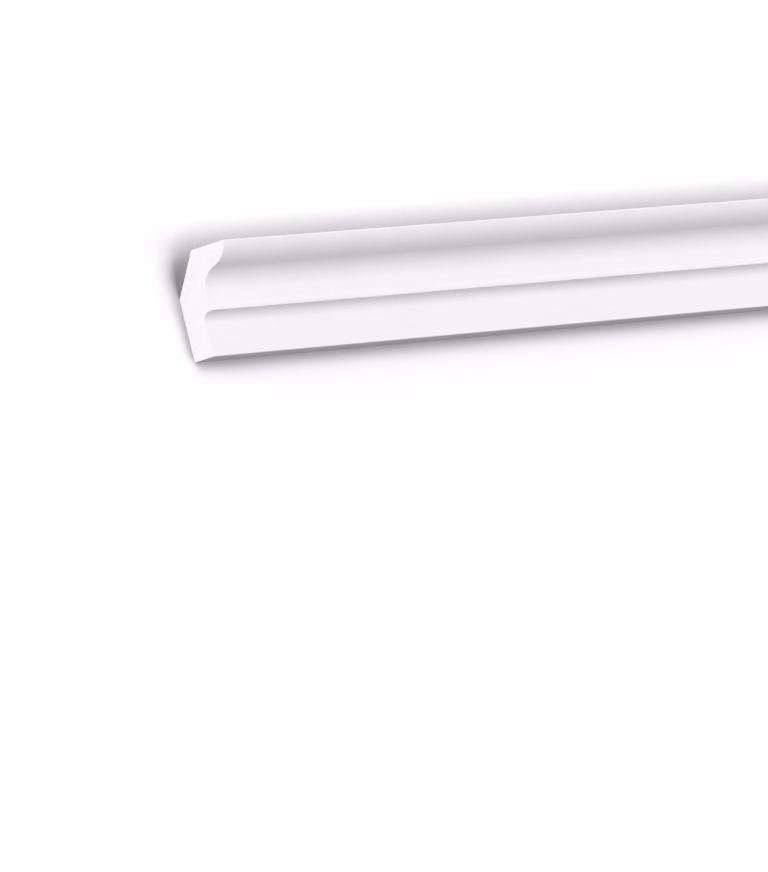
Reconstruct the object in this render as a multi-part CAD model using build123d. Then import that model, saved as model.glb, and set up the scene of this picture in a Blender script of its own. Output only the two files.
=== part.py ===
from build123d import *
import math
import os

# Cornice moulding: one length of white moulded foam stock, sawn square at both ends.
# It covers the corner between a wall and a ceiling.
# X runs along the length, +Y points up the wall to the ceiling, +Z points out of the wall.
# The origin is in the middle of the length and of the height, on the plane of the wall face.
# Heights are measured up from the bottom lip, depths out from the wall face, all in millimetres.

# Stock
length = 2000.0

# Outline of the section
height = 70.0
projection = 45.0
lip_depth = 15.5

# Relief slope behind, which keeps the back clear of the corner between wall and ceiling
relief_height = 28.2
relief_depth = 18.0

# Ogee under the ceiling: an ovolo that runs into a cove
ovolo_radius = 18.5
ovolo_lean = 10.0
cove_radius = 15.0

# Upper flat, which flares out to the nose by the nose's reach
upper_flat_depth = 21.7
flare_radius = 5.0
nose_height = 28.7
nose_reach = 2.3

# Cavetto under the nose, and the lower flat
cavetto_radius = 6.3
lower_flat_lean = 2.0

# Easing of the moulded edges
edge_radius = 0.6


def at(height_up, depth):
    """A point of the section, in the section plane's own coordinates."""
    return (height_up - height / 2, depth)


def ogee():
    """The ovolo and the cove as two arcs that are tangent where they meet, and where the cove ends."""
    lean = math.radians(ovolo_lean)
    ovolo_height = height + ovolo_radius * math.sin(lean)
    ovolo_depth = projection - ovolo_radius * math.cos(lean)
    cove_depth = upper_flat_depth + cove_radius
    span = ovolo_radius + cove_radius
    drop = math.sqrt(span**2 - (cove_depth - ovolo_depth) ** 2)
    cove_height = ovolo_height - drop
    share = ovolo_radius / span
    meeting = at(ovolo_height - drop * share, ovolo_depth + (cove_depth - ovolo_depth) * share)
    ovolo = RadiusArc(at(height, projection), meeting, -ovolo_radius)
    cove = RadiusArc(meeting, at(cove_height, upper_flat_depth), cove_radius)
    return ovolo, cove


def flare():
    """The arc that carries the upper flat out to the nose."""
    rise = math.sqrt(flare_radius**2 - (flare_radius - nose_reach) ** 2)
    start = at(nose_height + rise, upper_flat_depth)
    return RadiusArc(start, at(nose_height, upper_flat_depth + nose_reach), flare_radius)


def cavetto():
    """The hollow under the nose, tangent to the nose's level underside and to the leaning lower flat."""
    lean = math.radians(lower_flat_lean)
    centre_height = nose_height - cavetto_radius
    centre_depth = lip_depth - centre_height * math.tan(lean) + cavetto_radius / math.cos(lean)
    start = at(nose_height, centre_depth)
    end = at(
        centre_height - cavetto_radius * math.sin(lean),
        centre_depth - cavetto_radius * math.cos(lean),
    )
    return RadiusArc(start, end, cavetto_radius)


def section():
    """The closed face of the section, with its outer edges eased."""
    ovolo, cove = ogee()
    nose_flare = flare()
    hollow = cavetto()
    lip_back = at(0, 0)
    lip_front = at(0, lip_depth)
    wall_top = at(height - relief_height, 0)
    ceiling_back = at(height, relief_depth)
    ceiling_front = at(height, projection)
    nose = nose_flare @ 1
    outline = [
        Line(lip_back, wall_top),
        Line(wall_top, ceiling_back),
        Line(ceiling_back, ceiling_front),
        ovolo,
        cove,
        Line(cove @ 1, nose_flare @ 0),
        nose_flare,
        Line(nose_flare @ 1, hollow @ 0),
        hollow,
        Line(hollow @ 1, lip_front),
        Line(lip_front, lip_back),
    ]
    face = make_face(outline)
    sharp = [lip_back, lip_front, wall_top, ceiling_back, ceiling_front, nose]
    corners = [face.vertices().sort_by_distance(point)[0] for point in sharp]
    return fillet(corners, edge_radius)


def cornice_moulding():
    """The section drawn out to the stock's length."""
    start = Plane.YZ.offset(-length / 2)
    return extrude(start * section(), amount=length, dir=(1, 0, 0))


os.makedirs("parts", exist_ok=True)
moulding = cornice_moulding()
export_step(moulding, "parts/cornice_moulding.step")
print("volume in cubic metres:", round(moulding.volume * 1e-9, 6))
print("centre of mass:", [round(value, 2) for value in moulding.center(CenterOf.MASS)])
print("top of the wall face:", round(height / 2 - relief_height, 2))
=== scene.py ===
# %% [markdown]
# # Cornice moulding
#
# A cornice moulding covers the corner between a wall and a ceiling. This one is a
# 2 m length of rigid white foam, moulded with a classical front, primed at the
# factory and sawn square at both ends. It lies on its wall face, so the moulded
# front looks up.
#
# The CAD model already holds the piece at its real size. This script loads it as a
# frame, and builds a finer piece in the same place: smooth curves, a sawn end with
# its foam cells, and a finish for each face.

# %% The CAD frame
import math

import bmesh
import bpy
from mathutils import Matrix, Vector, geometry


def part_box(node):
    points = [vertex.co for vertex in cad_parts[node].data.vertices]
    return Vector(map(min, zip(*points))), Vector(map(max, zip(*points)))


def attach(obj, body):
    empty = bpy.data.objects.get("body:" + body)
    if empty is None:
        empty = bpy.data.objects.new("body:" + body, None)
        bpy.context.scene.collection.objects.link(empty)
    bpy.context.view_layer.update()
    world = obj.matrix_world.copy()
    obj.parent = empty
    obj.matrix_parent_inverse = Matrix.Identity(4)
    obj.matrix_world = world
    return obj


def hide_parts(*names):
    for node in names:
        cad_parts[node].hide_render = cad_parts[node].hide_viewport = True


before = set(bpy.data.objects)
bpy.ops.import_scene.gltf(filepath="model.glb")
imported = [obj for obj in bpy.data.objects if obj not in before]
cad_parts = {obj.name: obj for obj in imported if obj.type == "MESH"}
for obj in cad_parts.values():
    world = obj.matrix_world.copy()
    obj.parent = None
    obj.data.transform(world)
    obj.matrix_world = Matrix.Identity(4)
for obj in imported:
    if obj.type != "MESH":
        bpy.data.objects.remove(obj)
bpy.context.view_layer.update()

CAD_NODE = "cornice_moulding"
node_low, node_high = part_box(CAD_NODE)
print("CAD box from", [round(v, 4) for v in node_low], "to", [round(v, 4) for v in node_high])

# %% [markdown]
# ## Sizes of the section
#
# Mouldings are drawn as a section: the outline you see on a cut end. A joiner names
# each part of it. From the ceiling down, this one has an ovolo (a rounded belly), a
# cove (a hollow) that the ovolo runs into, an upper flat, a small flare out to the
# nose, a cavetto (a small hollow) under the nose, a lower flat and the bottom lip.
# Behind, a relief slope cuts off the corner, because real corners are never clean.
#
# Heights run along Y from the bottom lip, depths along Z from the wall face. The
# numbers are millimetres on the real piece, and MM turns them into Blender's metres.

# %% Sizes of the section
MM = 0.001

LENGTH = node_high.x - node_low.x
HEIGHT = (node_high.y - node_low.y) / MM
PROJECTION = 45.0
LIP_DEPTH = 15.5
RELIEF_HEIGHT = 28.2
RELIEF_DEPTH = 18.0
OVOLO_RADIUS = 18.5
OVOLO_LEAN = math.radians(10.0)
COVE_RADIUS = 15.0
UPPER_FLAT_DEPTH = 21.7
FLARE_RADIUS = 5.0
NOSE_HEIGHT = 28.7
NOSE_REACH = 2.3
CAVETTO_RADIUS = 6.3
LOWER_FLAT_LEAN = math.radians(2.0)
EDGE_RADIUS = 0.6

print("stock", round(LENGTH, 3), "m long,", round(HEIGHT, 2), "mm high")

# %% [markdown]
# ## The outline as a belt round rollers
#
# Every curve of the section is a part of a circle, and every flat is tangent to the
# curve it meets. So the outline behaves like a belt that runs round a row of rollers.
# A roller inside the body is a rounded edge, such as the ovolo, and gets a positive
# radius. A roller outside the body is a hollow, such as the cove, and gets a negative
# one. The belt then needs only the middle and the radius of each roller.
#
# You could draw the same outline by hand as a Bezier curve, but its handles would
# only come near to true arcs. Here each number is one that a mould maker would cut.

# %% Rollers of the section
def rollers():
    """Height, depth and signed radius of each roller, round from the bottom lip's back."""
    ovolo_height = HEIGHT + OVOLO_RADIUS * math.sin(OVOLO_LEAN)
    ovolo_depth = PROJECTION - OVOLO_RADIUS * math.cos(OVOLO_LEAN)
    cove_depth = UPPER_FLAT_DEPTH + COVE_RADIUS
    span = OVOLO_RADIUS + COVE_RADIUS
    cove_height = ovolo_height - math.sqrt(span**2 - (cove_depth - ovolo_depth) ** 2)
    flare_rise = math.sqrt(FLARE_RADIUS**2 - (FLARE_RADIUS - NOSE_REACH) ** 2)
    flare_height = NOSE_HEIGHT + flare_rise
    flare_depth = UPPER_FLAT_DEPTH + FLARE_RADIUS
    cavetto_height = NOSE_HEIGHT - CAVETTO_RADIUS
    lean = math.tan(LOWER_FLAT_LEAN)
    cavetto_gap = CAVETTO_RADIUS / math.cos(LOWER_FLAT_LEAN)
    cavetto_depth = LIP_DEPTH - cavetto_height * lean + cavetto_gap

    ease = EDGE_RADIUS
    slope = math.atan2(RELIEF_DEPTH, RELIEF_HEIGHT)
    wall_top = HEIGHT - RELIEF_HEIGHT - ease * math.tan(slope / 2)
    ceiling_back = RELIEF_DEPTH + ease * math.tan((math.pi / 2 - slope) / 2)
    front_height = HEIGHT - ease
    front_gap = math.sqrt((OVOLO_RADIUS - ease) ** 2 - (ovolo_height - front_height) ** 2)
    nose_height = NOSE_HEIGHT + ease
    nose_gap = math.sqrt((FLARE_RADIUS + ease) ** 2 - (flare_height - nose_height) ** 2)
    lip_depth = LIP_DEPTH - ease * lean - ease / math.cos(LOWER_FLAT_LEAN)
    return [
        (ease, ease, ease),
        (wall_top, ease, ease),
        (HEIGHT - ease, ceiling_back, ease),
        (front_height, ovolo_depth + front_gap, ease),
        (ovolo_height, ovolo_depth, OVOLO_RADIUS),
        (cove_height, cove_depth, -COVE_RADIUS),
        (flare_height, flare_depth, -FLARE_RADIUS),
        (nose_height, flare_depth - nose_gap, ease),
        (cavetto_height, cavetto_depth, -CAVETTO_RADIUS),
        (ease, lip_depth, ease),
    ]


for height_up, depth, radius in rollers():
    print(f"roller at height {height_up:6.2f}, depth {depth:6.2f}, radius {radius:6.2f}")

# %% [markdown]
# The belt leaves one roller and reaches the next on a straight run, which touches both.
# The run's direction follows from the two middles and the two radii. Between its
# arriving and its leaving direction, the belt lies on the roller. An inset moves the
# whole belt into the body by a small step, which the sawn end needs later.

# %% The belt
FINEST_TURN = math.radians(12.0)
SAME_PLACE = 1e-6


def run_direction(first, second):
    """Angle from the height axis of the straight run that touches two rollers."""
    step = (second[0] - first[0], second[1] - first[1])
    reach = (second[2] - first[2]) / math.hypot(*step)
    return math.atan2(step[1], step[0]) - math.asin(max(-1.0, min(1.0, reach)))


def belt(spacing, inset=0.0):
    """Outline points, counter-clockwise in height and depth, with the body on the left."""
    row = [(h, d, r - inset) for h, d, r in rollers()]
    runs = [run_direction(a, b) for a, b in zip(row, row[1:] + row[:1])]
    arcs = []
    for (h, d, r), arrive, leave in zip(row, runs[-1:] + runs[:-1], runs):
        turn = (leave - arrive + math.pi) % (2 * math.pi) - math.pi
        count = max(1, math.ceil(abs(turn * r) / spacing), math.ceil(abs(turn) / FINEST_TURN))
        angles = [arrive + turn * i / count for i in range(count + 1)]
        arcs.append([(h + r * math.sin(a), d - r * math.cos(a)) for a in angles])
    points = []
    for arc, following in zip(arcs, arcs[1:] + arcs[:1]):
        points += arc
        gap = math.dist(arc[-1], following[0])
        count = math.ceil(gap / spacing)
        for i in range(1, count):
            share = i / count
            points.append(tuple(a + (b - a) * share for a, b in zip(arc[-1], following[0])))
        if gap < SAME_PLACE:
            points.pop()
    return points


OUTLINE_SPACING = 0.36
outline = belt(OUTLINE_SPACING)
perimeter = sum(math.dist(a, b) for a, b in zip(outline, outline[1:] + outline[:1]))
print(len(outline), "points on an outline of", round(perimeter, 1), "mm")

# %% [markdown]
# ## The section as a flat plate
#
# A sawn end is rarely flat when you look closely: the saw opens foam cells and leaves
# faint arcs. To carry such relief, the end needs a fine, even net of faces, not one
# big polygon. The net starts as a honeycomb of points that fills the inset outline.
# A constrained Delaunay triangulation then joins these points to the outline, and it
# keeps every outline edge, so the end will fit the sides exactly.

# %% Section plate
NET_SPACING = 0.34
NET_MARGIN = 0.7 * NET_SPACING
KEEP_INSIDE = 1


def honeycomb(fence):
    """Points of an even honeycomb inside the fence, row by row."""
    lift = NET_SPACING * math.sqrt(3) / 2
    points = []
    rows = int(PROJECTION / lift) + 1
    for row in range(rows):
        depth = (row + 0.5) * lift
        crossings = []
        for (h0, d0), (h1, d1) in zip(fence, fence[1:] + fence[:1]):
            if (d0 <= depth) != (d1 <= depth):
                crossings.append(h0 + (h1 - h0) * (depth - d0) / (d1 - d0))
        crossings.sort()
        shift = 0.5 * NET_SPACING * (row % 2)
        for enter, leave in zip(crossings[::2], crossings[1::2]):
            first = math.ceil((enter - shift) / NET_SPACING)
            last = math.floor((leave - shift) / NET_SPACING)
            points += [(shift + i * NET_SPACING, depth) for i in range(first, last + 1)]
    return points


def section_plate():
    """The section as one flat net of triangles that faces +X."""
    net = [Vector(p) for p in outline + honeycomb(belt(NET_SPACING, inset=NET_MARGIN))]
    loop = list(range(len(outline)))
    found = geometry.delaunay_2d_cdt(net, [], [loop], KEEP_INSIDE, SAME_PLACE)
    points, triangles = found[0], found[2]
    places = [(0.0, (p.x - HEIGHT / 2) * MM, p.y * MM) for p in points]
    mesh = bpy.data.meshes.new("section plate")
    mesh.from_pydata(places, [], triangles)
    mesh.update()
    return mesh


plate = section_plate()
print("plate:", len(plate.vertices), "points,", len(plate.polygons), "triangles")
print("faces +X:", all(face.normal.x > 0.99 for face in plate.polygons))

# %% [markdown]
# ## A short way to write node trees
#
# Geometry Nodes and shaders are both trees of nodes. Writing each node as three or
# four lines hides the idea behind the typing, so one helper makes a node, fills in its
# sockets and returns it. A value may be a plain number or another node's output. The
# second helper does the same for a Math node, which these trees need most.

# %% Node helpers
def put(tree, kind, values=None, **settings):
    """A new node. values maps a socket's name or number to a plain value or an output."""
    node = tree.nodes.new(kind)
    for key, value in settings.items():
        setattr(node, key, value)
    for key, value in (values or {}).items():
        socket = node.inputs[key]
        if isinstance(value, bpy.types.NodeSocket):
            tree.links.new(value, socket)
        else:
            socket.default_value = value
    return node


def reckon(tree, operation, *values):
    """The result of a Math node, with its values given in order."""
    return put(tree, "ShaderNodeMath", dict(enumerate(values)), operation=operation).outputs[0]


print("helpers for node trees are ready")

# %% [markdown]
# ## Drawing the section out into sawn stock
#
# The piece follows one simple rule: one section, one length, two saw cuts. That is a
# job for Geometry Nodes, because the rule stays readable and each size is an input
# that you can turn. The tree takes the plate and
#
# - sweeps the plate's rim along a line for the moulded faces,
# - puts the plate itself at both ends for the saw cuts,
# - sinks the cells, the open pores and the saw's arcs into those ends,
# - lets the saw crumble the rim a little, and
# - gives each kind of face its finish.
#
# Everything is cut inwards, so the piece never grows past its real size.

# %% Inputs of the stock tree
stock = bpy.data.node_groups.new("sawn stock", "GeometryNodeTree")
sockets = {}
for title, kind in (
    ("Section plate", "NodeSocketGeometry"),
    ("Length", "NodeSocketFloat"),
    ("Steps along", "NodeSocketInt"),
    ("Cell size", "NodeSocketFloat"),
    ("Cell depth", "NodeSocketFloat"),
    ("Pore spacing", "NodeSocketFloat"),
    ("Pore radius", "NodeSocketFloat"),
    ("Pore depth", "NodeSocketFloat"),
    ("Saw radius", "NodeSocketFloat"),
    ("Saw step", "NodeSocketFloat"),
    ("Saw depth", "NodeSocketFloat"),
    ("Crumble", "NodeSocketFloat"),
    ("Seed", "NodeSocketInt"),
    ("Primed front", "NodeSocketMaterial"),
    ("Bare back", "NodeSocketMaterial"),
    ("Sawn foam", "NodeSocketMaterial"),
):
    sockets[title] = stock.interface.new_socket(title, in_out="INPUT", socket_type=kind)
stock.interface.new_socket("Stock", in_out="OUTPUT", socket_type="NodeSocketGeometry")
given = put(stock, "NodeGroupInput").outputs
half_length = reckon(stock, "MULTIPLY", given["Length"], 0.5)
print("inputs:", ", ".join(sockets))

# %% [markdown]
# The line for the sweep gets many short steps near the ends, where the saw crumbles
# the rim, and long steps in the middle, where nothing happens. For that, a place u
# between -1 and 1 moves to u * (2 - |u|). The rim becomes a curve, which is laid flat
# because Curve to Mesh reads a profile in its own X and Y.

# %% Moulded faces
place = put(stock, "GeometryNodeInputPosition").outputs[0]
place_parts = put(stock, "ShaderNodeSeparateXYZ", {0: place}).outputs
faces_at_edge = put(stock, "GeometryNodeInputMeshEdgeNeighbors").outputs[0]
is_rim = put(
    stock, "FunctionNodeCompare", {2: faces_at_edge, 3: 1}, data_type="INT", operation="EQUAL"
).outputs[0]
rim = put(
    stock, "GeometryNodeMeshToCurve", {"Mesh": given["Section plate"], "Selection": is_rim}
).outputs[0]
laid_flat = put(
    stock,
    "ShaderNodeCombineXYZ",
    {
        0: reckon(stock, "MULTIPLY", place_parts[1], -1.0),
        1: reckon(stock, "MULTIPLY", place_parts[2], -1.0),
    },
).outputs[0]
profile = put(
    stock, "GeometryNodeSetPosition", {"Geometry": rim, "Position": laid_flat}
).outputs[0]

line_start = put(
    stock, "ShaderNodeCombineXYZ", {0: reckon(stock, "MULTIPLY", half_length, -1.0)}
).outputs[0]
line_end = put(stock, "ShaderNodeCombineXYZ", {0: half_length}).outputs[0]
line = put(
    stock, "GeometryNodeCurvePrimitiveLine", {"Start": line_start, "End": line_end}
).outputs[0]
stepped = put(
    stock,
    "GeometryNodeResampleCurve",
    {"Curve": line, "Count": reckon(stock, "ADD", given["Steps along"], 1.0)},
).outputs[0]
along = reckon(stock, "DIVIDE", place_parts[0], half_length)
eased = reckon(
    stock, "MULTIPLY", along, reckon(stock, "SUBTRACT", 2.0, reckon(stock, "ABSOLUTE", along))
)
eased_place = put(
    stock, "ShaderNodeCombineXYZ", {0: reckon(stock, "MULTIPLY", eased, half_length)}
).outputs[0]
graded = put(
    stock, "GeometryNodeSetPosition", {"Geometry": stepped, "Position": eased_place}
).outputs[0]
sides = put(
    stock, "GeometryNodeCurveToMesh", {"Curve": graded, "Profile Curve": profile}
).outputs[0]
print("moulded faces:", len(stock.nodes), "nodes so far")

# %% [markdown]
# The plate stands at the far end as it is, and turned round at the near end. A stored
# true or false value, "sawn", marks its faces, so that they still get the sawn finish
# after they are welded to the sides. Merge by Distance does the welding.

# %% Saw cuts
WELD = 0.002 * MM

marked = put(
    stock,
    "GeometryNodeStoreNamedAttribute",
    {"Geometry": given["Section plate"], "Name": "sawn", "Value": True},
    data_type="BOOLEAN",
    domain="FACE",
).outputs[0]
far_end = put(
    stock, "GeometryNodeTransform", {"Geometry": marked, "Translation": line_end}
).outputs[0]
near_end = put(
    stock,
    "GeometryNodeTransform",
    {
        "Geometry": put(stock, "GeometryNodeFlipFaces", {"Mesh": marked}).outputs[0],
        "Translation": line_start,
    },
).outputs[0]
ends = put(stock, "GeometryNodeJoinGeometry")
for part in (near_end, far_end):
    stock.links.new(part, ends.inputs[0])
shell = put(stock, "GeometryNodeJoinGeometry")
for part in (sides, ends.outputs[0]):
    stock.links.new(part, shell.inputs[0])
welded = put(
    stock, "GeometryNodeMergeByDistance", {"Geometry": shell.outputs[0], "Distance": WELD}
).outputs[0]
print("saw cuts:", len(stock.nodes), "nodes so far")

# %% [markdown]
# ### What the saw leaves
#
# Rigid foam is a froth of closed cells. Along a cut, each cell is opened at its own
# depth, which reads as a fine uneven grain. A few larger bubbles show as open pores.
# The blade adds faint arcs, all round one middle well below the bottom lip.
#
# The pores are scattered with Distribute Points on Faces and a fixed seed. Each vertex
# looks for its nearest pore, and sinks as a bowl if it lies inside that pore's radius.
# A power keeps most pores small, as they are in real foam.

# %% Pores
PORES_PER_SQUARE_METRE = 160000.0
SMALLEST_PORE = 0.35
PORE_RARITY = 3.0

scattered = put(
    stock,
    "GeometryNodeDistributePointsOnFaces",
    {
        "Mesh": ends.outputs[0],
        "Distance Min": given["Pore spacing"],
        "Density Max": PORES_PER_SQUARE_METRE,
        "Seed": given["Seed"],
    },
    distribute_method="POISSON",
).outputs[0]
pore_size = put(
    stock,
    "FunctionNodeRandomValue",
    {2: SMALLEST_PORE, 3: 1.0, "Seed": given["Seed"]},
    data_type="FLOAT",
).outputs[1]
sized = put(
    stock,
    "GeometryNodeStoreNamedAttribute",
    {
        "Geometry": scattered,
        "Name": "pore",
        "Value": reckon(stock, "POWER", pore_size, PORE_RARITY),
    },
    data_type="FLOAT",
    domain="POINT",
).outputs[0]
nearest = put(
    stock, "GeometryNodeSampleNearest", {"Geometry": sized}, domain="POINT"
).outputs[0]
pore_place = put(
    stock,
    "GeometryNodeSampleIndex",
    {"Geometry": sized, "Value": place, "Index": nearest},
    data_type="FLOAT_VECTOR",
    domain="POINT",
).outputs[0]
stored_size = put(
    stock, "GeometryNodeInputNamedAttribute", {"Name": "pore"}, data_type="FLOAT"
).outputs[0]
pore_share = put(
    stock,
    "GeometryNodeSampleIndex",
    {"Geometry": sized, "Value": stored_size, "Index": nearest},
    data_type="FLOAT",
    domain="POINT",
).outputs[0]
pore_distance = put(
    stock, "ShaderNodeVectorMath", {0: place, 1: pore_place}, operation="DISTANCE"
).outputs["Value"]
pore_reach = reckon(
    stock,
    "DIVIDE",
    pore_distance,
    reckon(stock, "MULTIPLY", given["Pore radius"], pore_share),
)
bowl_slope = reckon(stock, "SUBTRACT", 1.0, reckon(stock, "POWER", pore_reach, 2.0))
bowl = reckon(stock, "MAXIMUM", 0.0, bowl_slope)
bowl_depth = reckon(stock, "MULTIPLY", given["Pore depth"], pore_share)
pore_sink = reckon(stock, "MULTIPLY", bowl, bowl_depth)
print("pores:", len(stock.nodes), "nodes so far")

# %% [markdown]
# The closed cells are far smaller than a pore, so they need no scattering. A noise of
# about their size sinks the net by a few hundredths of a millimetre. The saw's arcs are
# a sine of the distance from the blade's middle, and a second noise fades them in and
# out, because no saw is fed evenly.

# %% Cells and saw arcs
SAW_MIDDLE_DEPTH = -20.0 * MM

cell_noise = put(
    stock,
    "ShaderNodeTexNoise",
    {
        "Vector": place,
        "Scale": reckon(stock, "DIVIDE", 1.0, given["Cell size"]),
        "Detail": 3.0,
        "Roughness": 0.6,
    },
).outputs[0]
cell_sink = reckon(stock, "MULTIPLY", cell_noise, given["Cell depth"])
saw_middle = put(
    stock,
    "ShaderNodeCombineXYZ",
    {
        0: place_parts[0],
        1: reckon(stock, "MULTIPLY", given["Saw radius"], -1.0),
        2: SAW_MIDDLE_DEPTH,
    },
).outputs[0]
saw_distance = put(
    stock, "ShaderNodeVectorMath", {0: place, 1: saw_middle}, operation="DISTANCE"
).outputs["Value"]
saw_turns = reckon(stock, "DIVIDE", saw_distance, given["Saw step"])
saw_phase = reckon(stock, "MULTIPLY", saw_turns, 2 * math.pi)
saw_wave = reckon(stock, "MULTIPLY_ADD", reckon(stock, "SINE", saw_phase), 0.5, 0.5)
saw_patch = put(
    stock, "ShaderNodeTexNoise", {"Vector": place, "Scale": 90.0, "Detail": 1.0}
).outputs[0]
saw_marks = reckon(stock, "MULTIPLY", saw_wave, saw_patch)
saw_sink = reckon(stock, "MULTIPLY", saw_marks, given["Saw depth"])
print("cells and arcs:", len(stock.nodes), "nodes so far")

# %% [markdown]
# At the rim the foam has nothing to lean on, so the blade tears out small crumbs. A
# Proximity node measures how far each vertex lies from the rim. Within a narrow band
# the cells, pores and arcs fade out, and a coarse noise nibbles the edge instead. All
# the sinks together move the vertices straight into the piece, along its length, which
# keeps the section's outline true and the welded edge closed.

# %% Rim, and the whole relief
RIM_BAND = 0.9 * MM

rim_net = put(stock, "GeometryNodeCurveToMesh", {"Curve": rim}).outputs[0]
flat_place = put(
    stock, "ShaderNodeCombineXYZ", {1: place_parts[1], 2: place_parts[2]}
).outputs[0]
rim_distance = put(
    stock,
    "GeometryNodeProximity",
    {0: rim_net, "Sample Position": flat_place},
    target_element="EDGES",
).outputs["Distance"]
inner = put(
    stock,
    "ShaderNodeMapRange",
    {"Value": rim_distance, 2: RIM_BAND, "To Max": 1.0},
    interpolation_type="SMOOTHSTEP",
).outputs[0]
crumb_noise = put(
    stock,
    "ShaderNodeTexNoise",
    {"Vector": place, "Scale": 700.0, "Detail": 3.0, "Roughness": 0.7},
).outputs[0]
crumb = put(
    stock, "ShaderNodeMapRange", {"Value": crumb_noise, "From Min": 0.42, "From Max": 0.85}
).outputs[0]
crumb_sink = reckon(stock, "MULTIPLY", crumb, given["Crumble"])
rim_sink = reckon(stock, "MULTIPLY", crumb_sink, reckon(stock, "SUBTRACT", 1.0, inner))
relief = reckon(stock, "ADD", reckon(stock, "ADD", cell_sink, pore_sink), saw_sink)
face_sink = reckon(stock, "MULTIPLY", relief, inner)
end_starts = reckon(stock, "SUBTRACT", half_length, 2 * WELD)
off_middle = reckon(stock, "ABSOLUTE", place_parts[0])
on_end = reckon(stock, "GREATER_THAN", off_middle, end_starts)
sink = reckon(stock, "MULTIPLY", reckon(stock, "ADD", rim_sink, face_sink), on_end)
to_middle = reckon(stock, "MULTIPLY", reckon(stock, "SIGN", place_parts[0]), -1.0)
inward = put(
    stock, "ShaderNodeCombineXYZ", {0: reckon(stock, "MULTIPLY", sink, to_middle)}
).outputs[0]
sawn_shell = put(
    stock, "GeometryNodeSetPosition", {"Geometry": welded, "Offset": inward}
).outputs[0]
print("relief:", len(stock.nodes), "nodes so far")

# %% [markdown]
# Smooth shading makes the arcs read as true curves. At the saw cut the edge stays
# crisp: an edge sharper than 50 degrees is stored as "sharp_edge", the attribute that
# Blender itself reads. Then every face gets its finish. Faces that look back, at the
# wall or at the ceiling, are bare foam, because nobody sees or primes them. Their
# normals lie near one slanting direction, so a dot product with it picks them out.

# %% Shading and finishes of the faces
CREASE = math.radians(50.0)
BACK_DIRECTION = (0.0, 0.6, -0.8)
BACK_SHARE = 0.4

smooth = put(
    stock, "GeometryNodeSetShadeSmooth", {"Geometry": sawn_shell, "Shade Smooth": True}
).outputs[0]
fold = put(stock, "GeometryNodeInputMeshEdgeAngle").outputs[0]
is_crease = put(
    stock, "FunctionNodeCompare", {0: fold, 1: CREASE}, operation="GREATER_THAN"
).outputs[0]
creased = put(
    stock,
    "GeometryNodeStoreNamedAttribute",
    {"Geometry": smooth, "Name": "sharp_edge", "Value": is_crease},
    data_type="BOOLEAN",
    domain="EDGE",
).outputs[0]
facing = put(stock, "GeometryNodeInputNormal").outputs[0]
backwards = put(
    stock,
    "ShaderNodeVectorMath",
    {0: facing, 1: BACK_DIRECTION},
    operation="DOT_PRODUCT",
).outputs["Value"]
is_back = put(
    stock, "FunctionNodeCompare", {0: backwards, 1: BACK_SHARE}, operation="GREATER_THAN"
).outputs[0]
is_sawn = put(
    stock, "GeometryNodeInputNamedAttribute", {"Name": "sawn"}, data_type="BOOLEAN"
).outputs[0]
real = put(stock, "GeometryNodeRealizeInstances", {"Geometry": creased}).outputs[0]
finished = real
for chosen, finish in ((True, "Primed front"), (is_back, "Bare back"), (is_sawn, "Sawn foam")):
    finished = put(
        stock,
        "GeometryNodeSetMaterial",
        {"Geometry": finished, "Selection": chosen, "Material": given[finish]},
    ).outputs[0]
put(stock, "NodeGroupOutput", {0: finished})
print("whole tree:", len(stock.nodes), "nodes")

# %% [markdown]
# ## Finishes
#
# The moulding has a primed front, a bare back and two sawn ends. All three finishes
# are nearly the same white, and they differ in how they break the light. So their
# colours stay close together, and most of the work is in the roughness and the bump.
#
# Each pattern is a noise on Object coordinates. These belong to the piece itself, so a
# pattern stays in its place from every side. A Mapping node squeezes their X axis where
# the marks run along the piece. The helpers below make what all three finishes share.

# %% Helpers for finishes
def new_finish(name, gloss):
    """A material, its tree, shader and Object coordinates. Plain plastic has gloss 0.5."""
    material = bpy.data.materials.new(name)
    material.use_nodes = True
    tree = material.node_tree
    shader = tree.nodes["Principled BSDF"]
    shader.inputs["Specular IOR Level"].default_value = gloss
    spot = put(tree, "ShaderNodeTexCoord").outputs["Object"]
    return material, tree, shader, spot


def noise(tree, spot, scale, detail=2.0, roughness=0.5, stretch=1.0):
    """A noise from 0 to 1. stretch draws its spots out along the piece."""
    if stretch != 1.0:
        spot = put(
            tree, "ShaderNodeMapping", {"Vector": spot, "Scale": (1.0 / stretch, 1.0, 1.0)}
        ).outputs[0]
    return put(
        tree,
        "ShaderNodeTexNoise",
        {"Vector": spot, "Scale": scale, "Detail": detail, "Roughness": roughness},
    ).outputs[0]


def spread(tree, value, low, high, start=0.3, end=0.7):
    """The value, with its usual range from start to end turned into low to high."""
    return put(
        tree,
        "ShaderNodeMapRange",
        {"Value": value, "From Min": start, "From Max": end, "To Min": low, "To Max": high},
    ).outputs[0]


def blend(tree, factor, first, second):
    """A colour between two colours."""
    ends = {0: factor, 6: (*first, 1.0), 7: (*second, 1.0)}
    return put(tree, "ShaderNodeMix", ends, data_type="RGBA").outputs[2]


def bump(tree, shader, layers):
    """Stacks bumps on the shader, each a height from 0 to 1 and its depth in metres."""
    normal = None
    for height, depth in layers:
        values = {"Height": height, "Distance": depth, "Strength": 1.0}
        if normal is not None:
            values["Normal"] = normal
        normal = put(tree, "ShaderNodeBump", values).outputs[0]
    tree.links.new(normal, shader.inputs["Normal"])


print("helpers for finishes are ready")

# %% [markdown]
# ### Primed front
#
# The front of the real moulding runs through a spray line, which leaves a satin white
# with faint streaks along the length and a very fine orange peel. A photograph of
# primer could be laid over it, but a noise has no seams and suits any length. The
# streaks are a noise drawn out along the piece, and they vary the roughness more than
# the colour.

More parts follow.
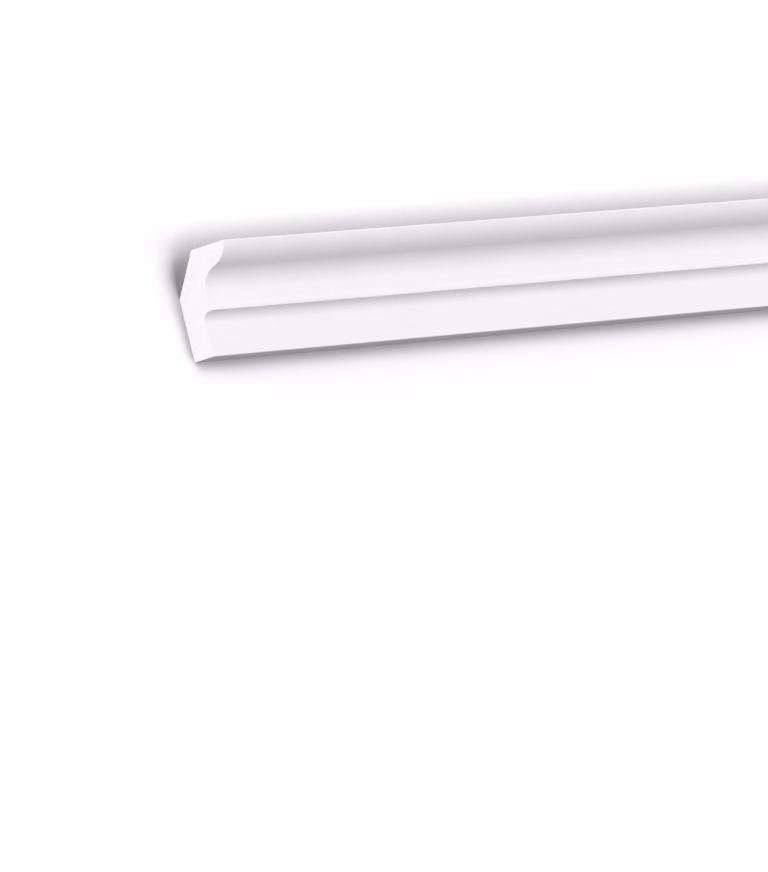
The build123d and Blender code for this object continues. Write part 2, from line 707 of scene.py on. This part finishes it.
# %% Primed front
PRIMER_DEEP = (0.832, 0.81, 0.832)
PRIMER_PALE = (0.85, 0.828, 0.85)


def primed_front():
    """Satin white primer with faint streaks along the length and a fine orange peel."""
    material, tree, shader, spot = new_finish("primed front", gloss=0.25)
    streaks = noise(tree, spot, scale=420.0, detail=3.0, roughness=0.55, stretch=60.0)
    clouds = noise(tree, spot, scale=28.0)
    tone = reckon(tree, "MULTIPLY_ADD", clouds, 0.5, reckon(tree, "MULTIPLY", streaks, 0.5))
    share = spread(tree, tone, 0.0, 1.0, start=0.38, end=0.62)
    colour = blend(tree, share, PRIMER_DEEP, PRIMER_PALE)
    tree.links.new(colour, shader.inputs["Base Color"])
    tree.links.new(spread(tree, streaks, 0.54, 0.66), shader.inputs["Roughness"])
    peel = noise(tree, spot, scale=900.0)
    grain = noise(tree, spot, scale=5200.0, roughness=0.6)
    bump(tree, shader, ((streaks, 0.012 * MM), (peel, 0.02 * MM), (grain, 0.008 * MM)))
    return material


print("primed front from", PRIMER_DEEP, "to", PRIMER_PALE)

# %% [markdown]
# ### Bare back
#
# The back is glued to the wall and the ceiling. It is left as bare foam skin, a touch
# warmer than the primer, and is sanded along its length so that the glue can hold. The
# scratches are the same drawn-out noise as the streaks, only finer and deeper.

# %% Bare back
SKIN_DEEP = (0.80, 0.782, 0.775)
SKIN_PALE = (0.85, 0.835, 0.83)


def bare_back():
    """Foam skin without primer, sanded along its length."""
    material, tree, shader, spot = new_finish("bare back", gloss=0.2)
    scratches = noise(tree, spot, scale=1500.0, detail=3.0, roughness=0.65, stretch=90.0)
    patches = noise(tree, spot, scale=35.0, detail=3.0)
    tone = reckon(tree, "MULTIPLY_ADD", patches, 0.6, reckon(tree, "MULTIPLY", scratches, 0.4))
    share = spread(tree, tone, 0.0, 1.0, start=0.36, end=0.64)
    colour = blend(tree, share, SKIN_DEEP, SKIN_PALE)
    tree.links.new(colour, shader.inputs["Base Color"])
    tree.links.new(spread(tree, patches, 0.72, 0.84), shader.inputs["Roughness"])
    grain = noise(tree, spot, scale=2600.0, roughness=0.6)
    bump(tree, shader, ((scratches, 0.06 * MM), (grain, 0.03 * MM)))
    return material


print("bare back from", SKIN_DEEP, "to", SKIN_PALE)

# %% [markdown]
# ### Sawn foam
#
# A saw cut opens the cells, and open cells scatter the light every way, so the ends are
# brighter than the front and dead matt. The relief of the cut is real geometry by now.
# What is finer than the faces of the net comes from the material: a slight mottle in
# the tone, and the walls of the cells as a Voronoi bump.

# %% Sawn foam
FOAM_DEEP = (0.875, 0.853, 0.875)
FOAM_PALE = (0.895, 0.873, 0.895)


def sawn_foam():
    """Open foam cells on a saw cut: bright, matt and slightly mottled."""
    material, tree, shader, spot = new_finish("sawn foam", gloss=0.08)
    mottle = noise(tree, spot, scale=300.0, detail=3.0, roughness=0.55)
    share = spread(tree, mottle, 0.0, 1.0, start=0.34, end=0.66)
    colour = blend(tree, share, FOAM_DEEP, FOAM_PALE)
    tree.links.new(colour, shader.inputs["Base Color"])
    tree.links.new(spread(tree, mottle, 0.86, 0.94), shader.inputs["Roughness"])
    cells = put(
        tree,
        "ShaderNodeTexVoronoi",
        {"Vector": spot, "Scale": 2600.0, "Randomness": 1.0},
        feature="F1",
    ).outputs["Distance"]
    bump(tree, shader, ((mottle, 0.02 * MM), (cells, 0.02 * MM)))
    return material


finishes = {"Primed front": primed_front(), "Bare back": bare_back(), "Sawn foam": sawn_foam()}
print("finishes:", ", ".join(material.name for material in finishes.values()))

# %% [markdown]
# ## Sawing the stock
#
# The plate becomes an object with the tree as its modifier. An input is set by its
# socket's identifier, before Blender first works the tree out. The result is then
# turned into a plain mesh, and the modifier goes, because an export or another tool
# only wants the mesh. The signed volume is a good check: it is positive only if the
# faces look outwards, and it should agree with the CAD model's volume.

# %% The moulding
sizes = {
    "Length": LENGTH,
    "Steps along": 60,
    "Cell size": 1.1 * MM,
    "Cell depth": 0.035 * MM,
    "Pore spacing": 2.4 * MM,
    "Pore radius": 0.75 * MM,
    "Pore depth": 0.24 * MM,
    "Saw radius": 130.0 * MM,
    "Saw step": 1.7 * MM,
    "Saw depth": 0.022 * MM,
    "Crumble": 0.2 * MM,
    "Seed": 7,
    **finishes,
}


def worked_out(name, mesh, tree, values):
    """A plain mesh object: the tree's result on the mesh, with the modifier gone."""
    holder = bpy.data.objects.new(name, mesh)
    bpy.context.scene.collection.objects.link(holder)
    modifier = holder.modifiers.new("stock", "NODES")
    modifier.node_group = tree
    for title, value in values.items():
        modifier[sockets[title].identifier] = value
    view_layer = bpy.context.evaluated_depsgraph_get()
    result = bpy.data.meshes.new_from_object(holder.evaluated_get(view_layer))
    holder.modifiers.clear()
    holder.data = result
    result.name = name
    return holder


moulding = worked_out("sawn_cornice_moulding", plate, stock, sizes)
probe = bmesh.new()
probe.from_mesh(moulding.data)
triangles = sum(len(face.verts) - 2 for face in probe.faces)
open_edges = sum(1 for edge in probe.edges if not edge.is_manifold)
print("triangles:", triangles, "open edges:", open_edges)
print("volume in litres:", round(probe.calc_volume(signed=True) * 1000, 4))
probe.free()
used = sorted({face.material_index for face in moulding.data.polygons})
print("finishes in use:", [moulding.data.materials[i].name for i in used])

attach(moulding, "root")
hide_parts(CAD_NODE)

# %% [markdown]
# ## Floor
#
# The moulding lies on a pale floor. For the camera the floor is nearly white, as in a
# product picture, and it still takes the moulding's soft shadow. For the light that
# bounces about, the same floor is a dark grey, so that it doesn't light up the
# underside of the lip, which should stay dark.
#
# Close round the piece, the floor has a painted shade a tone deeper, so that white
# stands out against white. Ambient Occlusion measures how open each spot of the floor is
# to the sky, and the painted shade follows it. It depends on the place alone, so it is
# the same from every side.

# %% Floor
CONTACT_REACH = 0.06
CONTACT_SAMPLES = 20
OPENNESS_LOW = 0.54
OPENNESS_HIGH = 0.78
# The colour of the painted shade, where the floor is least open to the sky.
PAINTED_SHADE_COLOUR = (0.53, 0.514, 0.53)
FLOOR_COLOUR = (0.98, 0.951, 0.98)
CAMERA_LIFT = 0.02
BOUNCE_COLOUR = (0.1, 0.1, 0.1, 1.0)
FLOOR_HALF = 20.0


def seen_directly(tree):
    """1 for rays from the camera, a reflection or a clear body, and 0 for other light."""
    ray = put(tree, "ShaderNodeLightPath").outputs
    mirrored = reckon(tree, "MAXIMUM", ray["Is Glossy Ray"], ray["Is Transmission Ray"])
    return reckon(tree, "MAXIMUM", ray["Is Camera Ray"], mirrored)


def floor_finish():
    """White to the camera and in reflections, with painted shade close round the piece, and
    grey to bounced light.
    """
    material = bpy.data.materials.new("studio floor")
    material.use_nodes = True
    tree = material.node_tree
    tree.nodes.clear()
    openness = put(
        tree,
        "ShaderNodeAmbientOcclusion",
        {"Distance": CONTACT_REACH},
        samples=CONTACT_SAMPLES,
    ).outputs["AO"]
    clear = spread(tree, openness, 0.0, 1.0, start=OPENNESS_LOW, end=OPENNESS_HIGH)
    # Painted shade: the floor colour grows darker where Ambient Occlusion finds little open
    # sky close round the piece.
    tone = blend(tree, clear, PAINTED_SHADE_COLOUR, FLOOR_COLOUR)
    diffuse = put(tree, "ShaderNodeBsdfDiffuse", {"Color": tone}).outputs[0]
    lift = put(tree, "ShaderNodeEmission", {"Color": tone, "Strength": CAMERA_LIFT}).outputs[0]
    pale = put(tree, "ShaderNodeAddShader", {0: diffuse, 1: lift}).outputs[0]
    grey = put(tree, "ShaderNodeBsdfDiffuse", {"Color": BOUNCE_COLOUR}).outputs[0]
    mixed = put(
        tree, "ShaderNodeMixShader", {0: seen_directly(tree), 1: grey, 2: pale}
    ).outputs[0]
    put(tree, "ShaderNodeOutputMaterial", {0: mixed})
    return material


floor_mesh = bpy.data.meshes.new("floor")
signs = ((-1, -1), (1, -1), (1, 1), (-1, 1))
corners = [(x * FLOOR_HALF, y * FLOOR_HALF, 0.0) for x, y in signs]
floor_mesh.from_pydata(corners, [], [(0, 1, 2, 3)])
floor_mesh.materials.append(floor_finish())
floor = bpy.data.objects.new("floor", floor_mesh)
bpy.context.scene.collection.objects.link(floor)
print("floor:", 2 * FLOOR_HALF, "m square")

# %% [markdown]
# ## Light
#
# White on white is all about light: the shape only shows where a face turns away from
# it. A broad soft key comes from above and from beyond the far end, so the belly of
# the ovolo and the undersides fall off gently. A second light looks at the near sawn
# end, and a weaker third one at the ceiling face, which would be grey without it. The
# world fills in the rest at a low level.
#
# The second and the third light are low. Seen along the piece, towards such a light,
# even a matt primer glares, so both are kept out of reflections.
#
# A sun lamp of strength pi gives a white face that looks at it exactly the colour that
# is written in its material. The lamps and the world here add up to about that.

# %% Lamps and world
FILL = 0.07
WHITE = (1.0, 1.0, 1.0, 1.0)


def soft_sun(name, towards, share, spread_angle, in_reflections=True):
    """A sun in the direction towards, with its share of full white and width in degrees."""
    lamp = bpy.data.lights.new(name, "SUN")
    lamp.energy = math.pi * share
    lamp.angle = math.radians(spread_angle)
    sun = bpy.data.objects.new(name, lamp)
    sun.rotation_euler = Vector(towards).to_track_quat("Z", "Y").to_euler()
    sun.visible_glossy = in_reflections
    bpy.context.scene.collection.objects.link(sun)
    return sun


soft_sun("key from above and behind", (0.65, 0.015, 1.0), 0.855, 90.0)
soft_sun("light on the near end", (-1.0, 0.065, 0.171), 1.228, 40.0, in_reflections=False)
soft_sun("light on the ceiling face", (0.0, 1.0, 0.1), 0.55, 40.0, in_reflections=False)

world = bpy.data.worlds.new("studio")
bpy.context.scene.world = world
world.use_nodes = True
sky = world.node_tree
sky.nodes.clear()
fill = put(sky, "ShaderNodeBackground", {"Color": WHITE, "Strength": FILL}).outputs[0]
white = put(sky, "ShaderNodeBackground", {"Color": WHITE, "Strength": 1.0}).outputs[0]
shown = put(
    sky, "ShaderNodeMixShader", {0: seen_directly(sky), 1: fill, 2: white}
).outputs[0]
put(sky, "ShaderNodeOutputWorld", {0: shown})
print("fill level", FILL)

# %% [markdown]
# ## Camera
#
# The camera stands far off the near end with a very long lens, so the lengthwise
# lines hardly converge. It looks down at about 35 degrees and is rolled on its side
# until the ceiling face points up in the picture. The lens is worked out for a frame
# 872 pixels high, 768 by 872 in all, and the moulding runs out of it on the right.

# %% Camera
CAMERA_PLACE = Vector((-6.4501, -0.7448, 3.9130))
CAMERA_AZIMUTH = math.radians(-173.428)
CAMERA_ELEVATION = math.radians(34.587)
CAMERA_ROLL = math.radians(72.58)
SENSOR = 36.0
FOCAL_PIXELS = 10500.0
FRAME_HEIGHT_PIXELS = 872

back = Vector(
    (
        math.cos(CAMERA_ELEVATION) * math.cos(CAMERA_AZIMUTH),
        math.cos(CAMERA_ELEVATION) * math.sin(CAMERA_AZIMUTH),
        math.sin(CAMERA_ELEVATION),
    )
)
level_right = Vector((0, 0, 1)).cross(back).normalized()
level_up = back.cross(level_right)
right = level_right * math.cos(CAMERA_ROLL) + level_up * math.sin(CAMERA_ROLL)
up = level_up * math.cos(CAMERA_ROLL) - level_right * math.sin(CAMERA_ROLL)

lens = bpy.data.cameras.new("camera")
lens.sensor_width = SENSOR
lens.lens = FOCAL_PIXELS * SENSOR / FRAME_HEIGHT_PIXELS
camera = bpy.data.objects.new("camera", lens)
turned = Matrix((right, up, back)).transposed().to_4x4()
camera.matrix_world = Matrix.Translation(CAMERA_PLACE) @ turned
bpy.context.scene.collection.objects.link(camera)
bpy.context.scene.camera = camera
bpy.context.scene.view_settings.view_transform = "Standard"
print("lens", round(lens.lens, 1), "mm, from", [round(v, 2) for v in CAMERA_PLACE])
